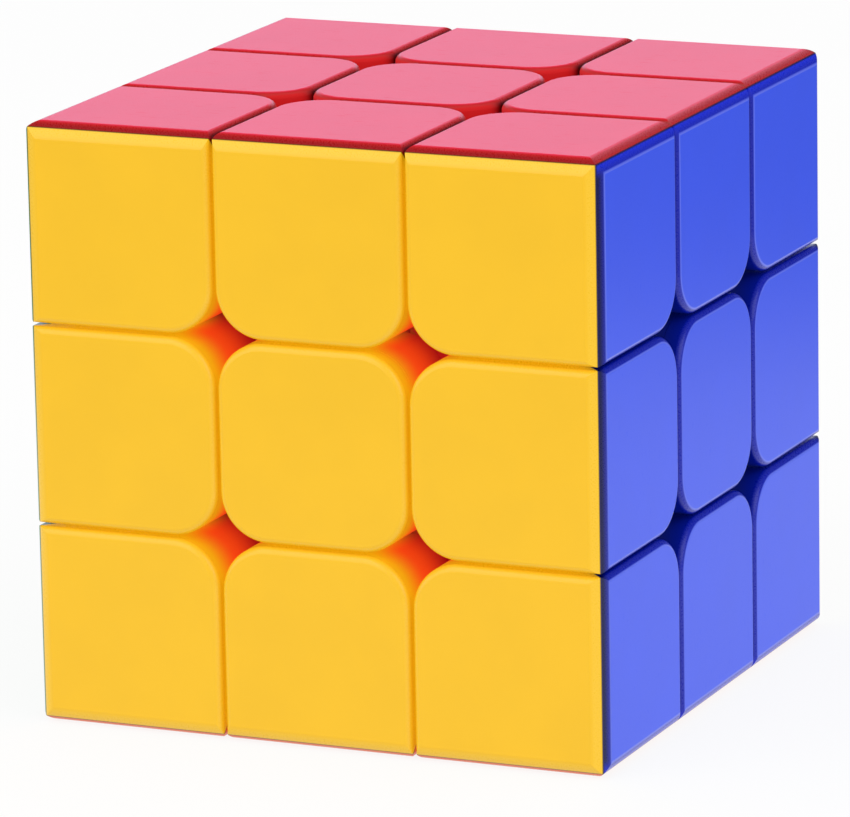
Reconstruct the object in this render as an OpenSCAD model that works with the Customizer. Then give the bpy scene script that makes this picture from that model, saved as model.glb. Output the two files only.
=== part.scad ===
// Stickerless three-layer twisty puzzle cube.
// A six-armed core carries six sprung centres, which trap twelve two-colour edges
// and eight three-colour corners by their feet.
// The origin is the middle of the core. Front is -Y, right is +X and top is +Z.

/* [Cube] */
// Edge length of the whole cube
cube_size = 56; // [52:0.5:60]
// Running gap between neighbouring pieces
layer_gap = 0.3; // [0.2:0.05:0.5]
// Corner radius of a tile where four tiles meet
tile_corner_r = 4.5; // [3:0.1:5]
// Rounding along the rim of every tile
tile_rim_r = 0.6; // [0.4:0.05:1.2]
// Rounding along the twelve outer edges of the cube
cube_edge_r = 1.5; // [1:0.1:2]
// Wall thickness of the moulded shells
shell_wall = 1.4; // [1.2:0.1:1.8]

/* [Track] */
// Thickness of a centre block over the ball-shaped track
block_t = 6.5; // [6:0.1:7.5]
// Thickness of the feet that run inside the track
foot_t = 4.2; // [3.5:0.1:5]
// Distance of the feet's inner cut from the middle plane
foot_cut = 5.2; // [5:0.05:5.8]
// Radius that rounds the three tips of a corner's foot
foot_tip_r = 9; // [8:0.1:10]
// Radius that rounds the ends of an edge's foot
foot_end_r = 4; // [2:0.1:4.5]

/* [Core] */
// Diameter of the hub
hub_d = 13; // [12:0.5:15]
// Diameter of an arm
arm_d = 8; // [7:0.1:9]
// Length of an arm from the middle of the core
arm_l = 10.5; // [9.5:0.1:11.5]

/* [Centre] */
// Wall of the hollow stem
stem_wall = 1.3; // [1:0.1:1.6]
// Thickness of the stem's floor, which the spring pulls
seat_t = 2; // [1.5:0.1:2.5]
// Thickness of the cap's face
cap_t = 2; // [1.6:0.1:2.4]
// Depth of the cap's plug in the base
plug_t = 1.2; // [0.8:0.1:1.4]
// Clearance between a fixed piece and its seat
fit_gap = 0.05; // [0.02:0.01:0.1]

/* [Axle] */
// Diameter of the screw's shank
screw_d = 2.9; // [2.5:0.1:3.2]
// Length of the thread inside the arm
thread_l = 5; // [4:0.1:6]
// Diameter of the screw's head
head_d = 5; // [4.6:0.1:5.4]
// Height of the screw's head
head_h = 1.8; // [1.4:0.1:2.2]
// Length of an arm of the cross recess in the head
recess_l = 3; // [2.4:0.1:3.4]
// Width of an arm of the cross recess in the head
recess_w = 0.9; // [0.7:0.05:1.1]
// Room between the screw's head and the cap's face
head_room = 3.5; // [3:0.1:4]
// Thickness of the washer
washer_t = 0.6; // [0.4:0.1:0.8]
// Diameter of the spring's wire
wire_d = 0.6; // [0.5:0.05:0.7]
// Number of coils of the spring
coil_turns = 5; // [4:0.5:6]
// Clearance round the spring and the washer inside the stem
coil_gap = 0.35; // [0.3:0.05:0.5]

/* [Hidden] */
$fn = 64;
half = cube_size / 2;
side_gap = layer_gap / 2;
cut = cube_size / 6;
inner = cut + side_gap;
span = cut - side_gap;
track_r = half - block_t;
hollow_r = track_r - foot_t;
foot_lo = foot_cut + side_gap;
stem_r = foot_cut - side_gap;
bore_r = stem_r - stem_wall;
seat_z = arm_l + layer_gap + seat_t;
cap_z = half - cap_t;
head_z = cap_z - head_room;
washer_z = head_z - head_h - washer_t;
coil_r = bore_r - coil_gap - wire_d / 2;
coil_z = seat_z + side_gap + wire_d / 2;
coil_l = washer_z - side_gap - wire_d / 2 - coil_z;
// Rise of a closed coil, and the air between two of them
coil_air = 0.03;
coil_pitch = wire_d + coil_air;
foot_reach = track_r / 2;
COIL_STEPS = 12;
WIRE_SIDES = 6;
beyond = 1;
// The rim's arc leaves a face at this angle
rim_lean = 8;
SQUARE = [0, 0, 0, 0];
neck_w = 2 * (stem_r - shell_wall / 2);

// Each face: its name, its colour's name, its colour and its outward direction
FACES = [
    ["top", "red", "#d2142e", [0, 0, 1]],
    ["bottom", "orange", "#f2681c", [0, 0, -1]],
    ["front", "yellow", "#fdc62f", [0, -1, 0]],
    ["back", "white", "#f3f3ee", [0, 1, 0]],
    ["left", "green", "#169b4c", [-1, 0, 0]],
    ["right", "blue", "#3350d8", [1, 0, 0]],
];
TOP_BOTTOM = [0, 1];
FRONT_BACK = [2, 3];
LEFT_RIGHT = [4, 5];
EDGES = concat(
    [for (a = TOP_BOTTOM, b = FRONT_BACK) [a, b]],
    [for (a = TOP_BOTTOM, b = LEFT_RIGHT) [a, b]],
    [for (a = FRONT_BACK, b = LEFT_RIGHT) [a, b]]
);
CORNERS = [for (a = TOP_BOTTOM, b = FRONT_BACK, c = LEFT_RIGHT) [a, b, c]];

function face_name(f) = FACES[f][0];
function colour_name(f) = FACES[f][1];
function colour(f) = FACES[f][2];
function normal(f) = FACES[f][3];
function centre_node(f) = str("centre_", face_name(f), "_", colour_name(f));
function edge_node(e, f) = str("edge_", face_name(e[0]), "_", face_name(e[1]), "_", colour_name(f));
function corner_node(c, f) =
    str("corner_", face_name(c[0]), "_", face_name(c[1]), "_", face_name(c[2]), "_", colour_name(f));

// Turns +Z to the direction out and +Y to the direction up
module face_to(out, up) {
    across = cross(up, out);
    multmatrix([for (i = [0:2]) [across[i], up[i], out[i], 0]]) children();
}

// Turns X to Y, Y to Z and Z to X
module next_axis() {
    rotate([90, 0, 90]) children();
}

// Repeats what stands on +Z on all six axles
module each_axle() {
    for (f = [0:5]) face_to(normal(f), some_up(f)) children();
}

// A direction square to the face's own
function some_up(f) = normal(f)[2] == 0 ? [0, 0, 1] : [0, 1, 0];

// The one of a corner's other two faces that puts the third one on +X
function corner_up(c, f) = [for (u = c) if (u != f && [for (v = c) if (v != f && v != u)
    cross(normal(u), normal(f)) == normal(v)][0]) normal(u)][0];

// What is left over when the corner at the origin of the +X +Y quarter is rounded like a rim
module rim_waste(r) {
    depth = r / (1 - tan(rim_lean));
    difference() {
        translate([-beyond, -beyond]) square(depth + beyond);
        translate([depth, depth]) circle(depth / cos(rim_lean));
    }
}

// A rectangle whose corners, in turn from the lower left, have a radius or a rim's rounding
module round_rect(x, y, radii, rims = SQUARE) {
    corners = [[x[0], y[0], 1, 1], [x[1], y[0], -1, 1], [x[1], y[1], -1, -1], [x[0], y[1], 1, -1]];
    difference() {
        union() {
            polygon([for (i = [0:3]) let (c = corners[i], r = radii[i],
                on_side = [c[0], c[1] + c[3] * r], on_end = [c[0] + c[2] * r, c[1]])
                each i % 2 == 0 ? [on_side, on_end] : [on_end, on_side]]);
            for (i = [0:3])
                if (radii[i] > 0)
                    translate([corners[i][0] + corners[i][2] * radii[i],
                        corners[i][1] + corners[i][3] * radii[i]]) circle(radii[i]);
        }
        for (i = [0:3])
            if (rims[i] > 0)
                translate([corners[i][0], corners[i][1]]) rotate(90 * i) rim_waste(rims[i]);
    }
}

// A round_rect as a bar right through the cube along Z
module bar(x, y, radii, rims = SQUARE) {
    linear_extrude(2 * (half + beyond), center = true) round_rect(x, y, radii, rims);
}

// What the rim's rounding takes off the top face along a tile's round corner
module corner_rim(x, y, start) {
    translate([x, y, 0]) rotate_extrude(angle = 90, start = start)
        translate([tile_corner_r, half]) rotate(180) rim_waste(tile_rim_r);
}

// The half of space above the plane through the origin that leans back by 45 degrees
module above_mitre() {
    size = 4 * cube_size;
    rotate([45, 0, 0]) translate([-size / 2, -size / 2, 0]) cube(size);
}

// A ball-shaped shell that fills the track
module track_fill() {
    difference() {
        sphere(track_r - side_gap);
        sphere(hollow_r);
    }
}

// The outside of a corner round its +Z tile, or the room inside it
module corner_block(inset, rim, edge) {
    range = [inner + inset, half - inset];
    rims = [0, rim, edge, rim];
    intersection() {
        bar(range, range, [tile_corner_r - inset, 0, 0, 0], rims);
        next_axis() bar(range, range, SQUARE, rims);
        next_axis() next_axis() bar(range, range, SQUARE, rims);
    }
}

// The third of a corner at +X +Y +Z that has the +Z tile
module corner_third(tint) {
    color(tint) intersection() {
        above_mitre();
        rotate(-90) above_mitre();
        union() {
            difference() {
                corner_block(0, tile_rim_r, cube_edge_r);
                difference() {
                    corner_block(shell_wall, 0, 0);
                    sphere(track_r + shell_wall);
                }
                corner_rim(inner + tile_corner_r, inner + tile_corner_r, 180);
            }
            intersection() {
                track_fill();
                translate([foot_lo, foot_lo, foot_lo]) cube(track_r);
                rotate([0, acos(1 / sqrt(3)), 45]) cylinder(r = foot_tip_r, h = half);
            }
        }
    }
}

// The outside of an edge at +Y +Z round its +Z tile, or the room inside it
module edge_block(inset, rim, edge) {
    across = [inset - span, span - inset];
    range = [inner + inset, half - inset];
    inner_r = tile_corner_r - inset;
    intersection() {
        bar(across, range, [inner_r, inner_r, 0, 0], [0, 0, rim, rim]);
        rotate([90, 0, 0]) bar(across, range, SQUARE, [0, 0, rim, rim]);
        next_axis() bar(range, range, SQUARE, [0, rim, edge, rim]);
    }
}

// The foot of an edge, with the neck that carries its block
module edge_foot() {
    difference() {
        union() {
            intersection() {
                sphere(track_r - side_gap);
                translate([-half, foot_lo, foot_lo]) cube(cube_size);
                rotate([-45, 0, 0])
                    bar([-stem_r, stem_r], [-foot_reach, foot_reach], [for (i = [0:3]) min(foot_end_r, stem_r)]);
            }
            intersection() {
                sphere(track_r + side_gap + shell_wall / 2);
                translate([-neck_w / 2, inner, inner]) cube([neck_w, half, half]);
            }
        }
        sphere(hollow_r);
    }
}

// The half of an edge at +Y +Z that has the +Z tile
module edge_half(tint) {
    arc_x = span - tile_corner_r;
    arc_y = inner + tile_corner_r;
    color(tint) intersection() {
        above_mitre();
        union() {
            difference() {
                edge_block(0, tile_rim_r, cube_edge_r);
                sphere(track_r + side_gap);
                difference() {
                    edge_block(shell_wall, 0, 0);
                    sphere(track_r + side_gap + shell_wall);
                }
                corner_rim(-arc_x, arc_y, 180);
                corner_rim(arc_x, arc_y, 270);
            }
            edge_foot();
        }
    }
}

// A tile's outline, smaller by the inset
module tile_outline(inset) {
    range = [inset - span, span - inset];
    round_rect(range, range, [for (i = [0:3]) max(0, tile_corner_r - inset)]);
}

// The base of the centre at +Z, with the stem that turns on its screw
module centre_base() {
    stem_z = arm_l + layer_gap;
    socket_z = cap_z - plug_t;
    difference() {
        union() {
            difference() {
                translate([0, 0, inner]) linear_extrude(cap_z - fit_gap - inner) tile_outline(0);
                sphere(track_r + side_gap);
            }
            translate([0, 0, stem_z]) cylinder(r = stem_r, h = socket_z - stem_z);
        }
        cylinder(d = screw_d + 2 * layer_gap, h = half);
        translate([0, 0, seat_z]) cylinder(r = bore_r, h = half);
        translate([0, 0, socket_z]) linear_extrude(half) tile_outline(shell_wall);
    }
}

// The snapped-in cap of the centre at +Z
module centre_cap() {
    side = [-span, span];
    arc = span - tile_corner_r;
    difference() {
        intersection() {
            translate([0, 0, cap_z]) linear_extrude(half) tile_outline(0);
            rotate([90, 0, 0]) bar(side, [0, half], SQUARE, [0, 0, tile_rim_r, tile_rim_r]);
            next_axis() bar(side, [0, half], SQUARE, [0, 0, tile_rim_r, tile_rim_r]);
        }
        for (i = [0:3]) rotate(90 * i) corner_rim(arc, arc, 0);
    }
    translate([0, 0, cap_z - plug_t + fit_gap]) linear_extrude(plug_t) difference() {
        tile_outline(shell_wall + fit_gap);
        tile_outline(2 * shell_wall);
    }
}

// A centre at +Z
module centre(tint) {
    color(tint) {
        centre_base();
        centre_cap();
    }
}

// The hub with its six drilled arms
module core_spider() {
    arm_root = (arm_d + sqrt(hub_d ^ 2 - arm_d ^ 2)) / 4;
    color("#e9e9e4") difference() {
        union() {
            sphere(d = hub_d);
            each_axle() translate([0, 0, arm_root]) cylinder(d = arm_d, h = arm_l - arm_root);
        }
        each_axle() translate([0, 0, arm_l - thread_l - beyond / 2])
            cylinder(d = screw_d + 2 * fit_gap, h = thread_l + beyond);
    }
}

// Six pan-head screws with a cross recess
module axle_screws() {
    rim_h = head_h / 2;
    recess = [recess_l, recess_w, head_h];
    tip_z = arm_l - thread_l;
    color("#b9bdc2") each_axle() difference() {
        union() {
            translate([0, 0, tip_z]) cylinder(d = screw_d, h = head_z - rim_h - tip_z);
            translate([0, 0, head_z - head_h]) cylinder(d = head_d, h = rim_h);
            translate([0, 0, head_z - rim_h]) cylinder(d1 = head_d, d2 = head_d - 2 * rim_h, h = rim_h);
        }
        for (turn = [0, 90]) translate([0, 0, head_z]) rotate(turn) cube(recess, center = true);
    }
}

// A washer between each spring and its screw's head
module spring_washers() {
    color("#d9dce0") each_axle() translate([0, 0, washer_z]) difference() {
        cylinder(r = bore_r - coil_gap, h = washer_t);
        translate([0, 0, -beyond]) cylinder(d = screw_d + 2 * fit_gap, h = washer_t + 2 * beyond);
    }
}

// Height of a spring's wire after some turns, with a closed coil at each end
function coil_rise(turns) =
    turns < 1 ? turns * coil_pitch
    : turns > coil_turns - 1 ? coil_l - (coil_turns - turns) * coil_pitch
    : coil_pitch + (turns - 1) * (coil_l - 2 * coil_pitch) / (coil_turns - 2);

// A point on the skin of the wire of the spring at face f
function coil_point(f, ring, side) =
    let (turn = 360 * ring / COIL_STEPS, lean = 360 * side / WIRE_SIDES,
        r = coil_r + wire_d / 2 * cos(lean),
        z = coil_z + coil_rise(ring / COIL_STEPS) + wire_d / 2 * sin(lean),
        out = normal(f), up = some_up(f))
    r * cos(turn) * cross(up, out) + r * sin(turn) * up + z * out;

// Six coil springs, each from its stem's floor to its washer
module tension_springs() {
    rings = round(COIL_STEPS * coil_turns);
    per_spring = (rings + 1) * WIRE_SIDES;
    points = [for (f = [0:5], ring = [0:rings], side = [0:WIRE_SIDES - 1]) coil_point(f, ring, side)];
    skin = [for (f = [0:5], ring = [0:rings - 1], side = [0:WIRE_SIDES - 1])
        let (start = f * per_spring + ring * WIRE_SIDES, next = (side + 1) % WIRE_SIDES,
            a = start + side, b = start + next, c = b + WIRE_SIDES, d = a + WIRE_SIDES)
        each [[a, b, c], [a, c, d]]];
    ends = [for (f = [0:5]) let (last = (f + 1) * per_spring - 1)
        each [[for (side = [WIRE_SIDES - 1:-1:0]) f * per_spring + side],
            [for (side = [WIRE_SIDES - 1:-1:0]) last - side]]];
    color("#8f949a") polyhedron(points, concat(skin, ends));
}

core_spider();
axle_screws();
spring_washers();
tension_springs();
for (f = [0:5])
    face_to(normal(f), some_up(f)) centre(colour(f));
for (e = EDGES, i = [0, 1])
    face_to(normal(e[i]), normal(e[1 - i])) edge_half(colour(e[i]));
for (c = CORNERS, f = c)
    face_to(normal(f), corner_up(c, f)) corner_third(colour(f));
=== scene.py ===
"""Dresses a stickerless twisty puzzle cube: moulded plastics, axle steel, studio and camera."""

import logging
import math
from dataclasses import dataclass, field
from enum import Enum
from functools import cache
from typing import Union

import bpy
from mathutils import Matrix, Vector


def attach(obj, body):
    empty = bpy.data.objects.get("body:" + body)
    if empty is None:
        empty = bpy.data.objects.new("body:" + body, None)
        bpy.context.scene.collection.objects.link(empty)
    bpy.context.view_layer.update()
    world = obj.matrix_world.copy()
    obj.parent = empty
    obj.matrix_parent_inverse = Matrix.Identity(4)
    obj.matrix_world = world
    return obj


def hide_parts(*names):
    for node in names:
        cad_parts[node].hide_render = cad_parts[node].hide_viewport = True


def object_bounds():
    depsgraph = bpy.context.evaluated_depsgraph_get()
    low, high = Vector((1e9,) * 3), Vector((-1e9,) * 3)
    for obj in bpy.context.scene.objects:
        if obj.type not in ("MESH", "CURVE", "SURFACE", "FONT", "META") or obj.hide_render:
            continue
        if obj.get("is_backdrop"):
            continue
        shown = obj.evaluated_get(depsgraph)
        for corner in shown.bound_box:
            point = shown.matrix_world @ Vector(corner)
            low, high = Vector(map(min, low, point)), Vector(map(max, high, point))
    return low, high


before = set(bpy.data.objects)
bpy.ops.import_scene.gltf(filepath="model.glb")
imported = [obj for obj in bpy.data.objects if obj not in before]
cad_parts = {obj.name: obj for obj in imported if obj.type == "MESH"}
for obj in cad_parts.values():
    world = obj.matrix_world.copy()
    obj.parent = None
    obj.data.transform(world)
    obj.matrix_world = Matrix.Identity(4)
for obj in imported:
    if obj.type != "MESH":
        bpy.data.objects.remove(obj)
CAD_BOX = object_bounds()

LOG = logging.getLogger("puzzle_cube")
MM = 0.001
HALF = CAD_BOX[1].x / MM
CUT = HALF / 3
NOISE_MEAN = 0.5

Colour = tuple[float, float, float]
Point = tuple[float, float, float]
Span = tuple[float, float]
Setting = Union[str, int, float, bool]

BLACK: Colour = (0.0, 0.0, 0.0)
FULL_WHITE: Colour = (1.0, 1.0, 1.0)
EVEN: Point = (1.0, 1.0, 1.0)


class Wire:
    """An output socket of a material, with arithmetic that adds Math nodes."""

    def __init__(self, graph: "Graph", socket: bpy.types.NodeSocket) -> None:
        """Keeps the socket and the graph that it belongs to.

        Args:
            graph: The graph that new nodes go into.
            socket: The output socket to read.
        """
        self.graph = graph
        self.socket = socket

    def _math(self, operation: str, first: "Term", second: "Term") -> "Wire":
        """Adds one Math node.

        Args:
            operation: The Math node's operation.
            first: Its first value or wire.
            second: Its second value or wire.

        Returns:
            The node's result.
        """
        return self.graph.add("ShaderNodeMath", {"operation": operation}, {0: first, 1: second})

    def __add__(self, other: "Term") -> "Wire":
        """Returns this plus other."""
        return self._math("ADD", self, other)

    def __radd__(self, other: "Term") -> "Wire":
        """Returns other plus this."""
        return self._math("ADD", other, self)

    def __sub__(self, other: "Term") -> "Wire":
        """Returns this less other."""
        return self._math("SUBTRACT", self, other)

    def __rsub__(self, other: "Term") -> "Wire":
        """Returns other less this."""
        return self._math("SUBTRACT", other, self)

    def __mul__(self, other: "Term") -> "Wire":
        """Returns this times other."""
        return self._math("MULTIPLY", self, other)

    def __rmul__(self, other: "Term") -> "Wire":
        """Returns other times this."""
        return self._math("MULTIPLY", other, self)

    def size(self) -> "Wire":
        """Returns this without its sign."""
        return self._math("ABSOLUTE", self, 0.0)

    def ramp(self, low: float, high: float, start: float = 0.0, end: float = 1.0) -> "Wire":
        """Maps this smoothly from one range to another and holds it there.

        Args:
            low: The value that gives start.
            high: The value that gives end.
            start: The result at low.
            end: The result at high.

        Returns:
            The mapped value.
        """
        return self.graph.add(
            "ShaderNodeMapRange",
            {"interpolation_type": "SMOOTHSTEP", "clamp": True},
            {"Value": self, "From Min": low, "From Max": high, "To Min": start, "To Max": end},
        )


Term = Union[Wire, float]
Paint = Union[Wire, Colour]
Input = Union[Wire, float, tuple[float, ...]]


@dataclass(frozen=True)
class Pattern:
    """A noise pattern.

    Attributes:
        scale: Grains to the millimetre.
        detail: How many finer layers are added.
        closer: How much closer the pattern lies along each axis.
        keep: What each finer layer keeps of the strength of the one before.
    """

    scale: float
    detail: float
    closer: Point = EVEN
    keep: float = 0.55


class Graph:
    """The node tree of a material or of the world."""

    def __init__(self, owner: bpy.types.ID, output: str = "ShaderNodeOutputMaterial") -> None:
        """Empties the owner's node tree, but for its output.

        Args:
            owner: The material or the world.
            output: The type of its output node.
        """
        self.owner = owner
        owner.use_nodes = True
        self.tree = owner.node_tree
        self.tree.nodes.clear()
        self.output = self.tree.nodes.new(output)

    def add(
        self,
        kind: str,
        settings: dict[str, Setting] | None = None,
        inputs: dict[str | int, Input] | None = None,
        result: str | int = 0,
    ) -> Wire:
        """Adds one node, sets it up and joins its inputs.

        Args:
            kind: The node's type.
            settings: The node's own settings, which come before its inputs.
            inputs: A value or a wire for each input socket, by name or number.
            result: The output socket to return, by name or number.

        Returns:
            The node's output.
        """
        node = self.tree.nodes.new(kind)
        for key, value in (settings or {}).items():
            setattr(node, key, value)
        for key, value in (inputs or {}).items():
            if isinstance(value, Wire):
                self.tree.links.new(value.socket, node.inputs[key])
            else:
                node.inputs[key].default_value = value
        return Wire(self, node.outputs[result])

    def place(self) -> Wire:
        """Returns the point on the piece in millimetres, in the cube's own frame."""
        spot = self.add("ShaderNodeTexCoord", result="Object")
        return self.add("ShaderNodeVectorMath", {"operation": "SCALE"}, {0: spot, "Scale": 1 / MM})

    def along(self, spot: Wire, direction: Point) -> Wire:
        """Measures how far a point lies along a direction.

        Args:
            spot: The point.
            direction: A unit vector.

        Returns:
            The distance, in the point's units.
        """
        return self.add(
            "ShaderNodeVectorMath",
            {"operation": "DOT_PRODUCT"},
            {0: spot, 1: direction},
            result="Value",
        )

    def noise(self, spot: Wire, pattern: Pattern) -> Wire:
        """Adds a noise pattern.

        Args:
            spot: The point to read it at, in millimetres.
            pattern: The pattern.

        Returns:
            A value about NOISE_MEAN.
        """
        if pattern.closer != EVEN:
            spot = self.add(
                "ShaderNodeMapping",
                {"vector_type": "POINT"},
                {"Vector": spot, "Scale": pattern.closer},
            )
        return self.add(
            "ShaderNodeTexNoise",
            {"noise_dimensions": "3D"},
            {
                "Vector": spot,
                "Scale": pattern.scale,
                "Detail": pattern.detail,
                "Roughness": pattern.keep,
            },
            result="Fac",
        )

    def blend(self, first: Paint, second: Paint, share: Term) -> Wire:
        """Mixes two colours.

        Args:
            first: The colour at share 0.
            second: The colour at share 1.
            share: How much of the second shows.

        Returns:
            The mixed colour.
        """
        settings = {"data_type": "RGBA", "blend_type": "MIX", "clamp_factor": True}
        first, second = (c if isinstance(c, Wire) else (*c, 1.0) for c in (first, second))
        return self.add("ShaderNodeMix", settings, {0: share, 6: first, 7: second}, result=2)

    def bump(self, height: Wire, strength: float, reach: float) -> Wire:
        """Turns a height into a normal.

        Args:
            height: The height pattern.
            strength: How much of it shows.
            reach: The height's span in millimetres.

        Returns:
            The normal.
        """
        return self.add(
            "ShaderNodeBump", None, {"Height": height, "Strength": strength, "Distance": reach * MM}
        )

    def ray(self, kind: str) -> Wire:
        """Returns 1 for rays of a kind, such as Camera or Glossy, and 0 for others."""
        return self.add("ShaderNodeLightPath", result=f"Is {kind} Ray")

    def light(self, kind: str, colour: Colour, strength: float = 1.0) -> Wire:
        """Adds a shader that gives light.

        Args:
            kind: The shader's type.
            colour: The colour of its light.
            strength: The strength of its light.

        Returns:
            The shader.
        """
        return self.add(kind, None, {"Color": (*colour, 1.0), "Strength": strength})

    def mix(self, share: Wire, first: Wire, second: Wire) -> Wire:
        """Mixes two shaders.

        Args:
            share: How much of the second shows.
            first: The shader at share 0.
            second: The shader at share 1.

        Returns:
            The mixed shader.
        """
        return self.add("ShaderNodeMixShader", None, {0: share, 1: first, 2: second})

    def close(self, shader: Wire) -> bpy.types.ID:
        """Joins a shader to the output.

        Args:
            shader: The shader.

        Returns:
            The finished material or world.
        """
        self.tree.links.new(shader.socket, self.output.inputs["Surface"])
        return self.owner

    def surface(self, inputs: dict[str, Input]) -> bpy.types.Material:
        """Closes a material with a Principled shader.

        Args:
            inputs: A value or a wire for each of the shader's sockets.

        Returns:
            The finished material.
        """
        return self.close(self.add("ShaderNodeBsdfPrincipled", None, inputs))


def new_material(name: str) -> Graph:
    """Makes an empty material, whose glow isn't taken for a lamp.

    Args:
        name: The material's name.

    Returns:
        Its graph.
    """
    material = bpy.data.materials.new(name)
    material.cycles.emission_sampling = "NONE"
    return Graph(material)


def shaded(colour: Colour, shade: float) -> Colour:
    """Returns a colour made darker by a shade under 1, or lighter by one over 1."""
    return tuple(c * shade for c in colour)


def whitened(colour: Colour, share: float) -> Colour:
    """Returns a colour with a share of white in it."""
    return tuple(c + (1 - c) * share for c in colour)


class Side(Enum):
    """A side of the cube: its outward direction, and the colour of plastic that it wears."""

    TOP = ((0, 0, 1), "red")
    BOTTOM = ((0, 0, -1), "orange")
    FRONT = ((0, -1, 0), "yellow")
    BACK = ((0, 1, 0), "white")
    RIGHT = ((1, 0, 0), "blue")
    LEFT = ((-1, 0, 0), "green")

    @property
    def outward(self) -> Point:
        """The side's outward direction."""
        return self.value[0]

    @property
    def colour(self) -> str:
        """The colour word in the names of the side's nodes."""
        return self.value[1]

    @property
    def across(self) -> list[Point]:
        """The two directions that lie in the side."""
        axes = [(1, 0, 0), (0, 1, 0), (0, 0, 1)]
        return [axis for axis in axes if sum(a * b for a, b in zip(axis, self.outward)) == 0]


@dataclass(frozen=True)
class SatinPlastic:
    """Moulded shell plastic: satin tiles, smooth rims, and light that soaks through into the gaps.

    The glows are painted light that stands for that light. The rim, gap, well and deep colours are
    painted as well: shade on most rims, in the gaps and in the openings, a faint highlight on the
    pale rims, and on yellow a red in the openings that stands for light soaked through. Lengths are
    in millimetres, and depths go inwards from the tile. A span gives where a change starts and where
    it ends.

    Attributes:
        side: The side of the cube that wears the plastic.
        tile: The colour of the flat tile.
        rim: The tile's rounded rim, painted in shade on most plastics and faintly highlighted on the
            pale ones.
        gap: The painted shade on the walls between the layers.
        well: The painted shade in the openings where four tiles meet; on yellow its red is painted
            light.
        gap_glow: The glow in the gaps.
        well_glow: The glow in the openings.
        deep: The painted shade in the depth of the openings, where it differs from well.
        deep_glow: The glow that is left in the depth.
        rim_in: The depths over which the rim's painted colour comes in.
        gap_in: The depths over which the gap's painted shade comes in.
        well_in: The depths over which the opening's painted colour comes in.
        well_reach: How far from the opening's middle its colour ends, along both gaps together.
        deep_in: The depths over which the openings change to their deeper painted shade.
        edge_shades: The painted shade on the rim along the cube's edges, for each direction
        across the side; a factor over 1 paints a highlight.
        edge_in: The distances from the mitre over which that shade ends.
        parting: The rim's shade on the parting lines.
        parting_in: The distances from the mitre over which a parting line ends.
        wear: How strong the painted highlight is, a pale line where the tile's rim starts.
        worn_white: The share of white in the painted highlight.
        rim_highlight_in: The depths over which the painted highlight comes in.
        rim_highlight_out: The depths over which the painted highlight ends.
        flow: The moulding's flow.
        flow_in: The values of the flow that mottle the tile.
        mottle: How much of the mottling shows.
        mottle_shade: The tile's shade where it is mottled.
        grain: The moulding's fine grain.
        scuffs: The long faint scuffs.
        scuffs_in: The values of their pattern that leave a scuff.
        rough: The plastic's roughness.
        rough_grain: What the grain adds to it.
        rough_scuffs: What the scuffs add to it.
        rough_rim: What the rim adds to it.
        rough_well: What the openings add to it.
        bump: How much of the relief shows.
        bump_height: The height of the relief.
        bump_grain: The grain's part in the relief.
        bump_flow: The flow's part in the relief.
        ior: The plastic's index of refraction.
    """

    side: Side
    tile: Colour
    rim: Colour
    gap: Colour
    well: Colour
    gap_glow: Colour
    well_glow: Colour
    deep: Colour | None = None
    deep_glow: Colour = BLACK
    rim_in: Span = (0.0, 0.10)
    gap_in: Span = (0.2, 1.1)
    well_in: Span = (0.5, 4.6)
    well_reach: Span = (3.2, 4.8)
    deep_in: Span = (4.0, 10.5)
    edge_shades: tuple[float, ...] = ()
    edge_in: Span = (0.0, 1.3)
    parting: float = 0.22
    parting_in: Span = (0.03, 0.16)
    wear: float = 0.0
    worn_white: float = 0.25
    rim_highlight_in: Span = (0.0, 0.012)
    rim_highlight_out: Span = (0.03, 0.08)
    flow: Pattern = Pattern(0.11, 3.0)
    flow_in: Span = (0.3, 0.7)
    mottle: float = 0.6
    mottle_shade: float = 0.95
    grain: Pattern = Pattern(7.0, 2.0)
    scuffs: Pattern = Pattern(0.5, 4.0, (1.0, 6.0, 2.2))
    scuffs_in: Span = (0.60, 0.72)
    rough: float = 0.34
    rough_grain: float = 0.10
    rough_scuffs: float = 0.06
    rough_rim: float = -0.06
    rough_well: float = 0.6
    bump: float = 0.10
    bump_height: float = 0.04
    bump_grain: float = 0.7
    bump_flow: float = 0.3
    ior: float = 1.5

    def material(self) -> bpy.types.Material:
        """Makes the plastic.

        Returns:
            A material for the shells of one side.
        """
        g = new_material(f"{self.side.colour}_satin_plastic")
        spot = g.place()
        depth = HALF - g.along(spot, self.side.outward)
        first, second = (g.along(spot, way).size() for way in self.side.across)
        cross = (first - CUT).size() + (second - CUT).size()
        mitres = [HALF - way - depth for way in (first, second)]
        flow = g.noise(spot, self.flow)
        grain = g.noise(spot, self.grain)
        scuffs = g.noise(spot, self.scuffs).ramp(*self.scuffs_in)
        # Where the rim's painted colour, the gaps' painted shade and the openings' painted colours
        # come in.
        rim = depth.ramp(*self.rim_in)
        gap = depth.ramp(*self.gap_in)
        well = cross.ramp(*self.well_reach, 1.0, 0.0) * depth.ramp(*self.well_in)
        deep = depth.ramp(*self.deep_in)
        # A painted highlight: a pale line where the tile turns into its rim.
        rim_highlight = depth.ramp(*self.rim_highlight_in) * depth.ramp(*self.rim_highlight_out, self.wear, 0.0)

        mottle = flow.ramp(*self.flow_in, 0.0, self.mottle)
        colour = g.blend(self.tile, shaded(self.tile, self.mottle_shade), mottle)
        # Painted shade on the rounded rim, or a faint painted highlight on the pale plastics.
        colour = g.blend(colour, self.rim, rim)
        # Painted highlight along the tile's edge, paler than the tile.
        colour = g.blend(colour, whitened(self.tile, self.worn_white), rim_highlight)
        # Painted shade between the layers, darker than the tile.
        colour = g.blend(colour, self.gap, gap)
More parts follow.
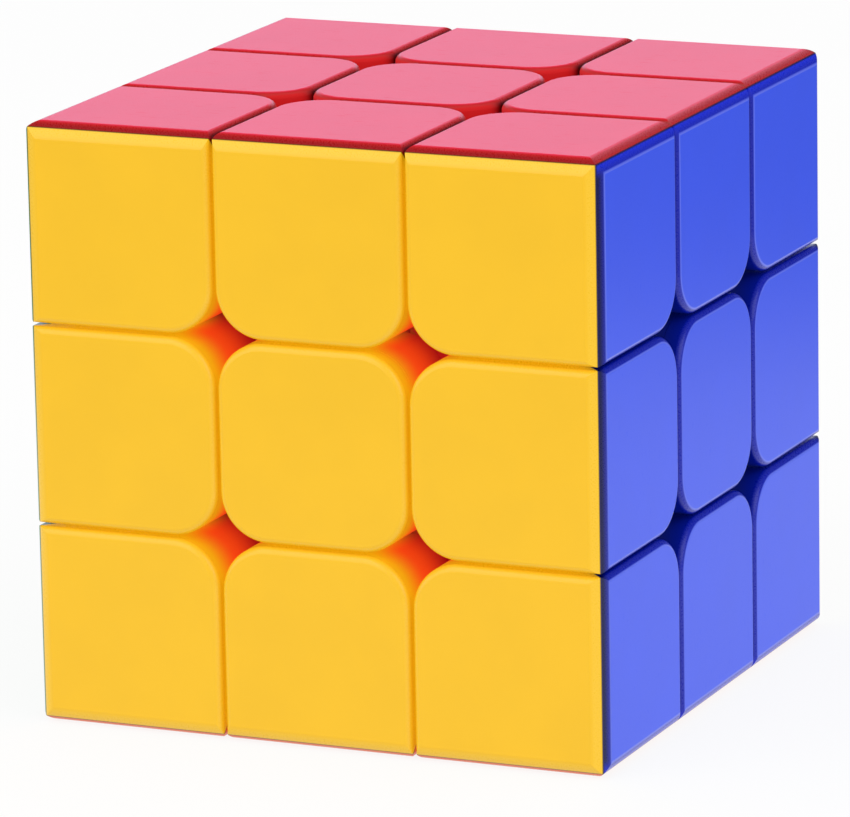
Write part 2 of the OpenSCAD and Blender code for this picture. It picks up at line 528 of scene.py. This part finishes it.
        # Painted shade in the openings, deeper further down; on yellow a red painted for light
        # soaked through.
        colour = g.blend(colour, g.blend(self.well, self.deep or self.well, deep), well)
        colour = self.edged(g, colour, mitres)

        # Painted glow in the gaps and openings, standing for light that soaks through the plastic.
        glow = g.blend(BLACK, self.gap_glow, gap)
        glow = g.blend(glow, self.well_glow, well)
        glow = g.blend(glow, self.deep_glow, deep)

        rough = self.rough + (grain - NOISE_MEAN) * self.rough_grain + scuffs * self.rough_scuffs
        rough = rough + rim * self.rough_rim + well * self.rough_well
        relief = (grain * self.bump_grain + flow * self.bump_flow) * (1 - rim)
        return g.surface(
            {
                "Base Color": colour,
                "Roughness": rough,
                "Normal": g.bump(relief, self.bump, self.bump_height),
                "IOR": self.ior,
                "Emission Color": glow,
                "Emission Strength": 1.0,
            }
        )

    def edged(self, g: Graph, colour: Wire, mitres: list[Wire]) -> Wire:
        """Shades the rim along the cube's edges and draws the parting lines.

        Args:
            g: The material's graph.
            colour: The colour so far.
            mitres: How far the point lies from the mitres across each direction.

        Returns:
            The colour with its edges.
        """
        # Painted shade along the cube's edges, or a painted highlight where the factor is over 1.
        for mitre, shade in zip(mitres, self.edge_shades):
            edge = mitre.ramp(*self.edge_in, 1.0, 0.0)
            colour = g.blend(colour, shaded(self.rim, shade), edge)
        for mitre in mitres:
            line = mitre.ramp(*self.parting_in, 1.0, 0.0)
            colour = g.blend(colour, shaded(self.rim, self.parting), line)
        return colour


@dataclass(frozen=True)
class CorePlastic:
    """Slippery matt plastic of the core.

    Attributes:
        tint: The plastic's colour.
        flow: The moulding's flow.
        flow_in: The values of the flow that mottle the plastic.
        mottle_shade: The tint's shade where it is mottled.
        grain: The moulding's fine grain.
        rough: The plastic's roughness.
        rough_grain: What the grain adds to it.
        bump: How much of the grain's relief shows.
        bump_height: The height of the relief, in millimetres.
        ior: The plastic's index of refraction.
    """

    tint: Colour = (0.80, 0.80, 0.77)
    flow: Pattern = Pattern(0.25, 3.0)
    flow_in: Span = (0.35, 0.7)
    mottle_shade: float = 0.82
    grain: Pattern = Pattern(8.0, 2.0)
    rough: float = 0.52
    rough_grain: float = 0.2
    bump: float = 0.15
    bump_height: float = 0.05
    ior: float = 1.48

    def material(self) -> bpy.types.Material:
        """Makes the core's plastic.

        Returns:
            A material for the core spider.
        """
        g = new_material("core_matt_plastic")
        spot = g.place()
        mottle = g.noise(spot, self.flow).ramp(*self.flow_in)
        grain = g.noise(spot, self.grain)
        return g.surface(
            {
                "Base Color": g.blend(self.tint, shaded(self.tint, self.mottle_shade), mottle),
                "Roughness": self.rough + (grain - NOISE_MEAN) * self.rough_grain,
                "Normal": g.bump(grain, self.bump, self.bump_height),
                "IOR": self.ior,
            }
        )


@dataclass(frozen=True)
class AxleSteel:
    """Bright steel of the axles' small parts.

    Attributes:
        name: The material's name.
        tint: The steel's colour.
        rough: The steel's roughness.
        lines: The marks of its making.
        rough_lines: What the marks add to the roughness.
        tarnish: The tarnish's patches.
        tarnish_in: The values of their pattern that are tarnished.
        tarnish_share: How much of the tarnish shows.
        tarnish_shade: The tint's shade where it is tarnished.
        rough_tarnish: What the tarnish adds to the roughness.
        bump: How much of the marks' relief shows.
        bump_height: The height of the relief, in millimetres.
    """

    name: str
    tint: Colour
    rough: float
    lines: Pattern = Pattern(3.0, 4.0)
    rough_lines: float = 0.2
    tarnish: Pattern = Pattern(0.6, 3.0)
    tarnish_in: Span = (0.4, 0.75)
    tarnish_share: float = 0.6
    tarnish_shade: float = 0.7
    rough_tarnish: float = 0.1
    bump: float = 0.08
    bump_height: float = 0.03

    def material(self) -> bpy.types.Material:
        """Makes the steel.

        Returns:
            A material for one kind of axle part.
        """
        g = new_material(self.name)
        spot = g.place()
        lines = g.noise(spot, self.lines)
        tarnish = g.noise(spot, self.tarnish).ramp(*self.tarnish_in)
        dull = shaded(self.tint, self.tarnish_shade)
        rough = self.rough + (lines - NOISE_MEAN) * self.rough_lines + tarnish * self.rough_tarnish
        return g.surface(
            {
                "Base Color": g.blend(self.tint, dull, tarnish * self.tarnish_share),
                "Metallic": 1.0,
                "Roughness": rough,
                "Normal": g.bump(lines, self.bump, self.bump_height),
            }
        )


class Finish(Enum):
    """The finishes by the colour word or the node that wears them."""

    # In each plastic, rim, gap, well and deep are painted shade (faint painted highlight on pale
    # rims, painted light in yellow's red openings), and the glows painted light.
    RED = SatinPlastic(
        Side.TOP,
        tile=(0.92, 0.012, 0.060),
        rim=(0.60, 0.004, 0.006),
        gap=(0.10, 0.001, 0.003),
        well=(0.50, 0.002, 0.003),
        gap_glow=BLACK,
        well_glow=(0.17, 0.001, 0.002),
        gap_in=(0.05, 0.5),
        well_in=(0.0, 0.35),
        # Painted shade along the left and right edges and, darker, along the front and back edges.
        edge_shades=(0.85, 0.60),
    )
    ORANGE = SatinPlastic(
        Side.BOTTOM,
        tile=(0.90, 0.17, 0.012),
        rim=(0.84, 0.13, 0.010),
        gap=(0.75, 0.08, 0.006),
        well=(0.75, 0.05, 0.005),
        gap_glow=(0.20, 0.02, 0.001),
        well_glow=(0.30, 0.015, 0.002),
    )
    YELLOW = SatinPlastic(
        Side.FRONT,
        tile=(0.98, 0.558, 0.006),
        rim=(0.98, 0.58, 0.020),
        gap=(0.70, 0.45, 0.006),
        well=(0.60, 0.125, 0.006),
        gap_glow=(0.25, 0.157, 0.002),
        well_glow=(0.42, 0.036, 0.004),
        deep=(0.60, 0.010, 0.020),
        deep_glow=(0.06, 0.0, 0.004),
        well_in=(0.5, 5.0),
        deep_in=(4.6, 11.0),
    )
    WHITE = SatinPlastic(
        Side.BACK,
        tile=(0.84, 0.84, 0.81),
        rim=(0.86, 0.86, 0.84),
        gap=(0.74, 0.73, 0.68),
        well=(0.70, 0.68, 0.60),
        gap_glow=(0.12, 0.115, 0.10),
        well_glow=(0.14, 0.13, 0.11),
    )
    GREEN = SatinPlastic(
        Side.LEFT,
        tile=(0.012, 0.33, 0.06),
        rim=(0.006, 0.24, 0.040),
        gap=(0.004, 0.16, 0.025),
        well=(0.003, 0.12, 0.020),
        gap_glow=(0.0, 0.025, 0.003),
        well_glow=(0.0, 0.03, 0.004),
        # Painted shade along the front and back edges and, darker, along the top and bottom edges.
        edge_shades=(0.80, 0.60),
        # A painted highlight along the tile's edges.
        wear=0.4,
    )
    BLUE = SatinPlastic(
        Side.RIGHT,
        tile=(0.012, 0.074, 0.92),
        rim=(0.002, 0.012, 0.44),
        gap=(0.001, 0.010, 0.34),
        well=(0.003, 0.010, 0.16),
        gap_glow=(0.0, 0.001, 0.02),
        well_glow=(0.0, 0.001, 0.01),
        # Painted shade at the front and back edges, and a painted highlight at the top and bottom
        # edges.
        edge_shades=(0.06, 1.60),
        edge_in=(0.0, 1.6),
        parting_in=(0.05, 0.30),
        # A painted highlight along the tile's edges.
        wear=0.4,
    )
    CORE_SPIDER = CorePlastic()
    AXLE_SCREWS = AxleSteel("zinc_plated_steel", (0.60, 0.61, 0.62), 0.30)
    SPRING_WASHERS = AxleSteel("polished_steel", (0.68, 0.69, 0.70), 0.20)
    TENSION_SPRINGS = AxleSteel("drawn_wire_steel", (0.45, 0.46, 0.48), 0.32)

    @cache
    def material(self) -> bpy.types.Material:
        """Returns the finish's material, which is made once."""
        return self.value.material()


class Bench:
    """The modelling bench. Sizes and places on it are in millimetres."""

    @staticmethod
    def open_up(piece: bpy.types.Object) -> bpy.types.Object:
        """Settles a new piece's place into its mesh and opens it in edit mode, all selected.

        Args:
            piece: The new piece, the only one selected.

        Returns:
            The same piece.
        """
        bpy.ops.object.transform_apply(location=True, rotation=True, scale=True)
        bpy.ops.object.mode_set(mode="EDIT")
        bpy.ops.mesh.select_all(action="SELECT")
        return piece

    @staticmethod
    def disc(
        sides: int, radius: float, spot: Point, lean: float = 0.0, fill: str = "NGON"
    ) -> bpy.types.Object:
        """Lays a disc, or a ring of edges, on the bench.

        Args:
            sides: How many sides it has.
            radius: Its radius.
            spot: Its middle.
            lean: How far it leans about X, in radians.
            fill: NGON for a disc, NOTHING for a ring.

        Returns:
            The disc, open in edit mode.
        """
        bpy.ops.object.select_all(action="DESELECT")
        bpy.ops.mesh.primitive_circle_add(
            vertices=sides,
            radius=radius * MM,
            fill_type=fill,
            location=Vector(spot) * MM,
            rotation=(lean, 0, 0),
        )
        return Bench.open_up(bpy.context.object)

    @staticmethod
    def draw_up(rise: float, grow: tuple[float, float], middle: Point) -> None:
        """Extrudes what is selected along Z and resizes its new end.

        Args:
            rise: How far the end moves.
            grow: How many times wider and deeper the end gets.
            middle: The point that the end is resized about.
        """
        bpy.ops.mesh.extrude_region()
        bpy.ops.transform.translate(value=(0, 0, rise * MM))
        bpy.ops.transform.resize(value=(*grow, 1), center_override=Vector(middle) * MM)

    @staticmethod
    def turned(sections: list[tuple[float, float]], sides: int) -> bpy.types.Object:
        """Builds a round bar along Z.

        Args:
            sections: The height and the radius of each section in turn.
            sides: How many sides it has.

        Returns:
            The finished bar.
        """
        height, radius = sections[0]
        bar = Bench.disc(sides, radius, (0, 0, height))
        for top, end in sections[1:]:
            Bench.draw_up(top - height, (end / radius, end / radius), (0, 0, top))
            height, radius = top, end
        return Bench.close_up(bar)

    @staticmethod
    def coiled(
        wire: float, sides: int, radius: float, heights: list[float], steps: int, taper: int = 0
    ) -> bpy.types.Object:
        """Winds a wire round Z, right-handed.

        Args:
            wire: The wire's radius.
            sides: How many sides the wire has.
            radius: The radius of the coils, at the middle of the wire.
            heights: The height of the wire's middle after each step.
            steps: How many steps make a turn.
            taper: How many steps at each end the wire takes to reach its size.

        Returns:
            The finished coil.
        """
        last = len(heights) - 1
        sizes = [min(1.0, (min(i, last - i) + 1) / (taper + 1)) for i in range(last + 1)]
        coil = Bench.disc(sides, wire * sizes[0], (radius, 0, heights[0]), math.pi / 2)
        turn = math.tau / steps
        for i in range(1, last + 1):
            bpy.ops.mesh.extrude_region()
            bpy.ops.transform.rotate(value=-turn, orient_axis="Z", center_override=(0, 0, 0))
            bpy.ops.transform.translate(value=(0, 0, (heights[i] - heights[i - 1]) * MM))
            if sizes[i] != sizes[i - 1]:
                middle = (radius * math.cos(turn * i), radius * math.sin(turn * i), heights[i])
                swell = sizes[i] / sizes[i - 1]
                bpy.ops.transform.resize(value=(swell,) * 3, center_override=Vector(middle) * MM)
        return Bench.close_up(coil)

    @staticmethod
    def close_up(piece: bpy.types.Object) -> bpy.types.Object:
        """Turns a closed piece's faces outwards and leaves edit mode.

        Args:
            piece: The piece, open in edit mode.

        Returns:
            The same piece.
        """
        bpy.ops.mesh.select_all(action="SELECT")
        bpy.ops.mesh.normals_make_consistent(inside=False)
        bpy.ops.object.mode_set(mode="OBJECT")
        return piece

    @staticmethod
    def apply(piece: bpy.types.Object, kind: str, **settings: object) -> None:
        """Adds a modifier to a piece and applies it.

        Args:
            piece: The piece.
            kind: The modifier's type.
            **settings: The modifier's settings.
        """
        step = piece.modifiers.new(kind.lower(), kind)
        for key, value in settings.items():
            setattr(step, key, value)
        bpy.context.view_layer.objects.active = piece
        bpy.ops.object.modifier_apply(modifier=step.name)

    @staticmethod
    def join(piece: bpy.types.Object, tool: bpy.types.Object, operation: str) -> None:
        """Unites a piece with a tool, or cuts the tool out of it. The tool is used up.

        Args:
            piece: The piece.
            tool: The closed shape that is added or taken away.
            operation: UNION or DIFFERENCE.
        """
        Bench.apply(piece, "BOOLEAN", operation=operation, solver="EXACT", object=tool)
        bpy.data.objects.remove(tool)


@dataclass
class SubAssembly:
    """Pieces of one kind, found by the start of their nodes' names."""

    kind: str

    @property
    def nodes(self) -> list[str]:
        """The names of the sub-assembly's nodes."""
        return sorted(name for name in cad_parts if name.startswith(self.kind))

    def finish_of(self, name: str) -> Finish:
        """Returns the finish that is called after a node."""
        return Finish[name.upper()]

    def wear(self, piece: bpy.types.Object, finish: Finish) -> None:
        """Puts a finish on a piece.

        Args:
            piece: The piece.
            finish: Its finish.
        """
        piece.data.materials.clear()
        piece.data.materials.append(finish.material())

    def dress(self) -> list[bpy.types.Object]:
        """Puts each node's finish on it.

        Returns:
            The dressed pieces.
        """
        for name in self.nodes:
            self.wear(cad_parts[name], self.finish_of(name))
        return [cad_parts[name] for name in self.nodes]


@dataclass
class Shells(SubAssembly):
    """Moulded shells, each in the colour that its node's name ends with."""

    def finish_of(self, name: str) -> Finish:
        """Returns the finish of the colour word at the end of a node's name."""
        return Finish[name.upper().rsplit("_", 1)[1]]


@dataclass
class Corners(Shells):
    """Eight corners, each of three shells."""

    kind: str = "corner_"


@dataclass
class Edges(Shells):
    """Twelve edges, each of two shells."""

    kind: str = "edge_"


@dataclass
class Centres(Shells):
    """Six centres, each a base with its cap."""

    kind: str = "centre_"


@dataclass
class Core(SubAssembly):
    """The spider that the screws hold in."""

    kind: str = "core_"


@dataclass
class AxleParts(SubAssembly):
    """Six alike steel parts, one on each axle, in place of one node.

    Sizes are in millimetres, and heights are measured out from the middle of the core.
    """

    slot: str = ""
    smooth_under: float = 40.0

    def shape(self) -> bpy.types.Object:
        """Models the part of the top axle.

        Returns:
            The part, standing on +Z.
        """
        raise NotImplementedError

    def dress(self) -> list[bpy.types.Object]:
        """Models the part once, puts a copy on each axle and gives it its finish.

        Returns:
            The six parts.
        """
        pattern = self.shape()
        bpy.ops.object.select_all(action="DESELECT")
        pattern.select_set(True)
        bpy.context.view_layer.objects.active = pattern
        bpy.ops.object.shade_smooth_by_angle(angle=math.radians(self.smooth_under))
        parts = [self.fit(pattern, side) for side in Side]
        bpy.data.objects.remove(pattern)
        return parts

    def fit(self, pattern: bpy.types.Object, side: Side) -> bpy.types.Object:
        """Puts a copy of the part on one axle.

        Args:
            pattern: The part of the top axle.
            side: The side that the axle points to.

        Returns:
            The copy, in its finish.
        """
        part = bpy.data.objects.new(f"{self.kind[:-1]}_{side.name.lower()}", pattern.data.copy())
        part.data.transform(Vector(side.outward).to_track_quat("Z", "Y").to_matrix().to_4x4())
        bpy.context.scene.collection.objects.link(part)
        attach(part, "core")
        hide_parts(self.kind)
        self.wear(part, self.finish_of(self.kind))
        return part


@dataclass
class AxleScrews(AxleParts):
    """Pan-head screws, with a thread that holds in the core and a cross recess."""

    kind: str = "axle_screws"
    slot: str = "screw_steel"
    tip: float = 5.5
    tip_radius: float = 0.75
    tip_length: float = 0.45
    root_radius: float = 1.15
    shank_radius: float = 1.45
    thread_end: float = 10.5
    thread_pitch: float = 0.8
    thread_sides: int = 4
    thread_steps: int = 23
    thread_taper: int = 9
    thread_sunk: float = 0.07
    head_under: float = 20.7
    head_top: float = 22.5
    head_radius: float = 2.5
    head_round: float = 0.9
    head_steps: int = 6
    burr: float = 0.08
    recess_length: float = 3.0
    recess_width: float = 0.9
    recess_depth: float = 0.9
    recess_taper: tuple[float, float] = (0.72, 0.6)
    sides: int = 48

    def shape(self) -> bpy.types.Object:
        """Models one screw.

        Returns:
            The screw, standing on +Z.
        """
        screw = Bench.turned(self.outline(), self.sides)
        Bench.join(screw, self.thread(), "UNION")
        for turn in (0.0, math.pi / 2):
            Bench.join(screw, self.recess(turn), "DIFFERENCE")
        return screw

    def outline(self) -> list[tuple[float, float]]:
        """Lists the screw's sections.

        Returns:
            The height and the radius of each section, from the tip to the top of the head.
        """
        shoulder = self.head_top - self.head_round
        middle = self.head_radius - self.head_round
        arcs = [math.pi / 2 * i / self.head_steps for i in range(self.head_steps + 1)]
        dome = [
            (shoulder + self.head_round * math.sin(a), middle + self.head_round * math.cos(a))
            for a in arcs
        ]
        return [
            (self.tip, self.tip_radius),
            (self.tip + self.tip_length, self.root_radius),
            (self.thread_end, self.root_radius),
            (self.thread_end + self.shank_radius - self.root_radius, self.shank_radius),
            (self.head_under, self.shank_radius),
            (self.head_under, self.head_radius - self.burr),
            (self.head_under + self.burr, self.head_radius),
            *dome,
        ]

    def thread(self) -> bpy.types.Object:
        """Winds the thread's ridge, which tapers off at both ends.

        Returns:
            The ridge.
        """
        winding = self.root_radius - self.thread_sunk
        ridge = self.shank_radius - winding
        low = self.tip + self.tip_length + ridge
        rise = self.thread_pitch / self.thread_steps
        count = int((self.thread_end - ridge - low) / rise)
        heights = [low + rise * i for i in range(count + 1)]
        return Bench.coiled(
            ridge, self.thread_sides, winding, heights, self.thread_steps, self.thread_taper
        )

    def recess(self, turn: float) -> bpy.types.Object:
        """Makes the tool that cuts one slot of the cross.

        Args:
            turn: The slot's angle about the axle, in radians.

        Returns:
            The tool, which narrows downwards.
        """
        above = self.head_top + self.burr
        floor = self.head_top - self.recess_depth
        bpy.ops.object.select_all(action="DESELECT")
        bpy.ops.mesh.primitive_plane_add(size=MM, location=(0, 0, above * MM), rotation=(0, 0, turn))
        tool = bpy.context.object
        tool.scale = (self.recess_length, self.recess_width, 1)
        Bench.open_up(tool)
        narrow = self.recess_taper if turn == 0 else self.recess_taper[::-1]
        Bench.draw_up(floor - above, narrow, (0, 0, floor))
        return Bench.close_up(tool)


@dataclass
class SpringWashers(AxleParts):
    """Flat washers that the springs push against, with eased edges."""

    kind: str = "spring_washers"
    slot: str = "washer_steel"
    under: float = 20.1
    thick: float = 0.6
    bore_radius: float = 1.5
    radius: float = 3.4
    eased: float = 0.1
    eased_steps: int = 3
    eased_angle: float = 1.0
    sides: int = 64

    def shape(self) -> bpy.types.Object:
        """Models one washer, with its edges eased where they turn by more than eased_angle radians.

        Returns:
            The washer, lying on its axle's +Z.
        """
        washer = Bench.disc(self.sides, self.bore_radius, (0, 0, self.under), fill="NOTHING")
        widen = self.radius / self.bore_radius
        Bench.draw_up(0.0, (widen, widen), (0, 0, self.under))
        bpy.ops.mesh.select_all(action="SELECT")
        Bench.draw_up(self.thick, (1, 1), (0, 0, self.under))
        Bench.close_up(washer)
        Bench.apply(
            washer,
            "BEVEL",
            width=self.eased * MM,
            segments=self.eased_steps,
            limit_method="ANGLE",
            angle_limit=self.eased_angle,
        )
        return washer


@dataclass
class TensionSprings(AxleParts):
    """Coil springs of drawn wire, with a closed coil at each end."""

    kind: str = "tension_springs"
    slot: str = "spring_steel"
    smooth_under: float = 60.0
    wire_radius: float = 0.3
    coil_radius: float = 3.1
    low: float = 13.25
    high: float = 19.65
    turns: int = 5
    closed_pitch: float = 0.63
    steps: int = 32
    wire_sides: int = 12

    def shape(self) -> bpy.types.Object:
        """Models one spring.

        Returns:
            The spring, standing round +Z.
        """
        heights = [self.height(i / self.steps) for i in range(self.turns * self.steps + 1)]
        return Bench.coiled(self.wire_radius, self.wire_sides, self.coil_radius, heights, self.steps)

    def height(self, turn: float) -> float:
        """Finds how high the middle of the wire is.

        Args:
            turn: The turns from the spring's lower end.

        Returns:
            The height.
        """
        first, last = self.low + self.closed_pitch, self.high - self.closed_pitch
        if turn < 1:
            return self.low + turn * self.closed_pitch
        if turn > self.turns - 1:
            return self.high - (self.turns - turn) * self.closed_pitch
        return first + (turn - 1) / (self.turns - 2) * (last - first)


@dataclass(frozen=True)
class Viewpoint:
    """The camera's place: its angles in degrees, its lengths in millimetres.

    Attributes:
        azimuth: How far the camera stands round to the right of the front.
        elevation: How far it stands above the level.
        roll: How far it is turned about its own line of sight.
        distance: How far it stands from the middle of the cube.
        aside: How far it is moved to its own right.
        above: How far it is moved up.
        focal_pixels: Its focal length in pixels of the picture.
        picture_width: The picture's width in pixels.
        sensor: The width of its sensor.
        near: Where its sight starts.
        far: Where its sight ends.
    """

    azimuth: float = 23.69
    elevation: float = 13.66
    roll: float = -1.09
    distance: float = 626.0
    aside: float = -0.96
    above: float = -2.63
    focal_pixels: float = 6751.5
    picture_width: float = 850.0
    sensor: float = 36.0
    near: float = 10.0
    far: float = 50000.0

    def axes(self) -> tuple[Vector, Vector, Vector]:
        """Finds the camera's own directions.

        Returns:
            Its right, its up, and the way from the cube to it.
        """
        a, e, r = (math.radians(x) for x in (self.azimuth, self.elevation, self.roll))
        back = Vector((math.sin(a) * math.cos(e), -math.cos(a) * math.cos(e), math.sin(e)))
        right = Vector((0, 0, 1)).cross(back).normalized()
        up = back.cross(right)
        turned = right * math.cos(r) + up * math.sin(r)
        return turned, up * math.cos(r) - right * math.sin(r), back

    def place(self) -> bpy.types.Object:
        """Makes the camera and gives it to the scene.

        Returns:
            The camera.
        """
        right, up, back = self.axes()
        data = bpy.data.cameras.new("studio_camera")
        data.sensor_width = self.sensor
        data.lens = self.focal_pixels / self.picture_width * self.sensor
        data.clip_start = self.near * MM
        data.clip_end = self.far * MM
        camera = bpy.data.objects.new("studio_camera", data)
        spot = (right * self.aside + up * self.above + back * self.distance) * MM
        turn = Matrix((right, up, back)).transposed().to_4x4()
        camera.matrix_world = Matrix.Translation(spot) @ turn
        bpy.context.scene.collection.objects.link(camera)
        bpy.context.scene.camera = camera
        return camera


@dataclass(frozen=True)
class SoftBox:
    """A square white lamp: where it hangs and its side in metres, and its power in watts."""

    name: str
    spot: Point
    side: float
    power: float

    def hang(self) -> bpy.types.Object:
        """Makes the lamp and points it at the cube.

        Returns:
            The lamp.
        """
        data = bpy.data.lights.new(self.name, "AREA")
        data.shape = "SQUARE"
        data.size = self.side
        data.energy = self.power
        lamp = bpy.data.objects.new(self.name, data)
        lamp.location = self.spot
        lamp.rotation_euler = (-Vector(self.spot)).to_track_quat("-Z", "Y").to_euler()
        bpy.context.scene.collection.objects.link(lamp)
        return lamp


@dataclass
class Studio:
    """The white room: its floor, its even light, its backdrop and its lamps. Lengths are in metres.

    Attributes:
        floor_side: The side of the square floor.
        floor_drop: How far the floor lies below the cube.
        room_light: The strength of the even light from all round.
        paper: The colour of the floor's paper.
        paper_glow: How white the paper shows, whatever light falls on it.
        paper_bounce: How much of that white the paper throws onto matt surfaces.
        paper_dims: The distances over which the paper dims in the gloss.
        paper_far: What is left of it in the gloss beyond.
        backdrop: The colour of the backdrop, which shows in the gloss alone.
        backdrop_top: The heights of a direction over which the backdrop ends.
        backdrop_side: The ways to the right of a direction over which the backdrop ends.
        backdrop_light: The strength of the backdrop's light.
        overhead: The backdrop's share in the rest of the room.
        lamps: The lamps.
    """

    floor_side: float = 6.0
    floor_drop: float = 0.00005
    room_light: float = 0.80
    paper: Colour = (0.92, 0.92, 0.92)
    paper_glow: float = 0.88
    paper_bounce: float = 0.75
    paper_dims: Span = (0.12, 0.21)
    paper_far: float = 0.18
    backdrop: Colour = (0.66, 0.72, 1.0)
    backdrop_top: Span = (0.27, 0.42)
    backdrop_side: Span = (-0.20, 0.15)
    backdrop_light: float = 1.68
    overhead: float = 0.06
    lamps: list[SoftBox] = field(
        default_factory=lambda: [
            SoftBox("key_lamp", (-0.35, -0.75, 0.65), 1.0, 3.4),
            SoftBox("side_lamp", (0.85, -0.25, 0.45), 0.9, 2.5),
        ]
    )

    def white_paper(self) -> bpy.types.Material:
        """Makes the floor's paper, which is clear from below and keeps the cube's shadow.

        Returns:
            The paper's material.
        """
        g = new_material("white_paper")
        glossy = g.ray("Glossy")
        matt = g.ray("Diffuse")
        spot = g.add("ShaderNodeTexCoord", result="Object")
        away = g.add("ShaderNodeVectorMath", {"operation": "LENGTH"}, {0: spot}, result="Value")
        dim = 1 - glossy * away.ramp(*self.paper_dims, 0.0, 1 - self.paper_far)
        dim = dim - matt * (1 - self.paper_bounce)
        dark = g.light("ShaderNodeEmission", BLACK)
        white = g.light("ShaderNodeEmission", FULL_WHITE)
        plain = g.add("ShaderNodeBsdfDiffuse", None, {"Color": (*self.paper, 1.0)})
        share = (g.ray("Camera") + glossy + g.ray("Transmission") + matt) * self.paper_glow
        lit = g.mix(share, plain, g.mix(dim, dark, white))
        under = g.add("ShaderNodeNewGeometry", result="Backfacing")
        return g.close(g.mix(under, lit, g.add("ShaderNodeBsdfTransparent")))

    def lay_floor(self) -> bpy.types.Object:
        """Makes the pale floor that the cube stands on.

        Returns:
            The floor.
        """
        bpy.ops.object.select_all(action="DESELECT")
        low = CAD_BOX[0].z - self.floor_drop
        bpy.ops.mesh.primitive_plane_add(size=self.floor_side, location=(0, 0, low))
        floor = bpy.context.object
        floor.name = "studio_floor"
        bpy.ops.object.transform_apply(location=True, rotation=True, scale=True)
        floor.data.materials.append(self.white_paper())
        floor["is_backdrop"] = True
        return floor

    def white_room(self) -> bpy.types.World:
        """Makes the world: white to the eye, even light for the cube, and a backdrop in its gloss.

        Returns:
            The world.
        """
        g = Graph(bpy.data.worlds.new("white_room"), "ShaderNodeOutputWorld")
        way = g.add("ShaderNodeTexCoord", result="Generated")
        height = g.along(way, Side.TOP.outward).ramp(*self.backdrop_top, 1.0, 0.0)
        aside = g.along(way, Side.RIGHT.outward).ramp(*self.backdrop_side, 1.0, 0.0)
        sheet = self.overhead + height * aside * (1 - self.overhead)
        dark = g.light("ShaderNodeBackground", BLACK)
        paper = g.light("ShaderNodeBackground", self.backdrop, self.backdrop_light)
        even = g.light("ShaderNodeBackground", FULL_WHITE, self.room_light)
        shown = g.light("ShaderNodeBackground", FULL_WHITE)
        lit = g.mix(g.ray("Glossy"), even, g.mix(sheet, dark, paper))
        return g.close(g.mix(g.ray("Camera") + g.ray("Transmission"), lit, shown))

    def light(self) -> None:
        """Gives the scene its world and hangs the lamps."""
        bpy.context.scene.world = self.white_room()
        for lamp in self.lamps:
            lamp.hang()


def write_size() -> None:
    boxes = {"cad": CAD_BOX, "visual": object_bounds()}
    plain = {name: [list(corner) for corner in box] for name, box in boxes.items()}


def main() -> None:
    """Dresses the cube piece by piece and reports each, then sets up the studio and the camera."""
    logging.basicConfig(level=logging.INFO, format="%(name)s: %(message)s")
    bpy.context.scene.view_settings.view_transform = "Standard"
    shells = (Corners(), Edges(), Centres())
    axles = (AxleScrews(), SpringWashers(), TensionSprings())
    for group in (*shells, Core(), *axles):
        for piece in group.dress():
            LOG.info("%s wears %s", piece.name, piece.active_material.name)
    studio = Studio()
    studio.lay_floor()
    studio.light()
    Viewpoint().place()
    write_size()


if __name__ == "__main__":
    main()
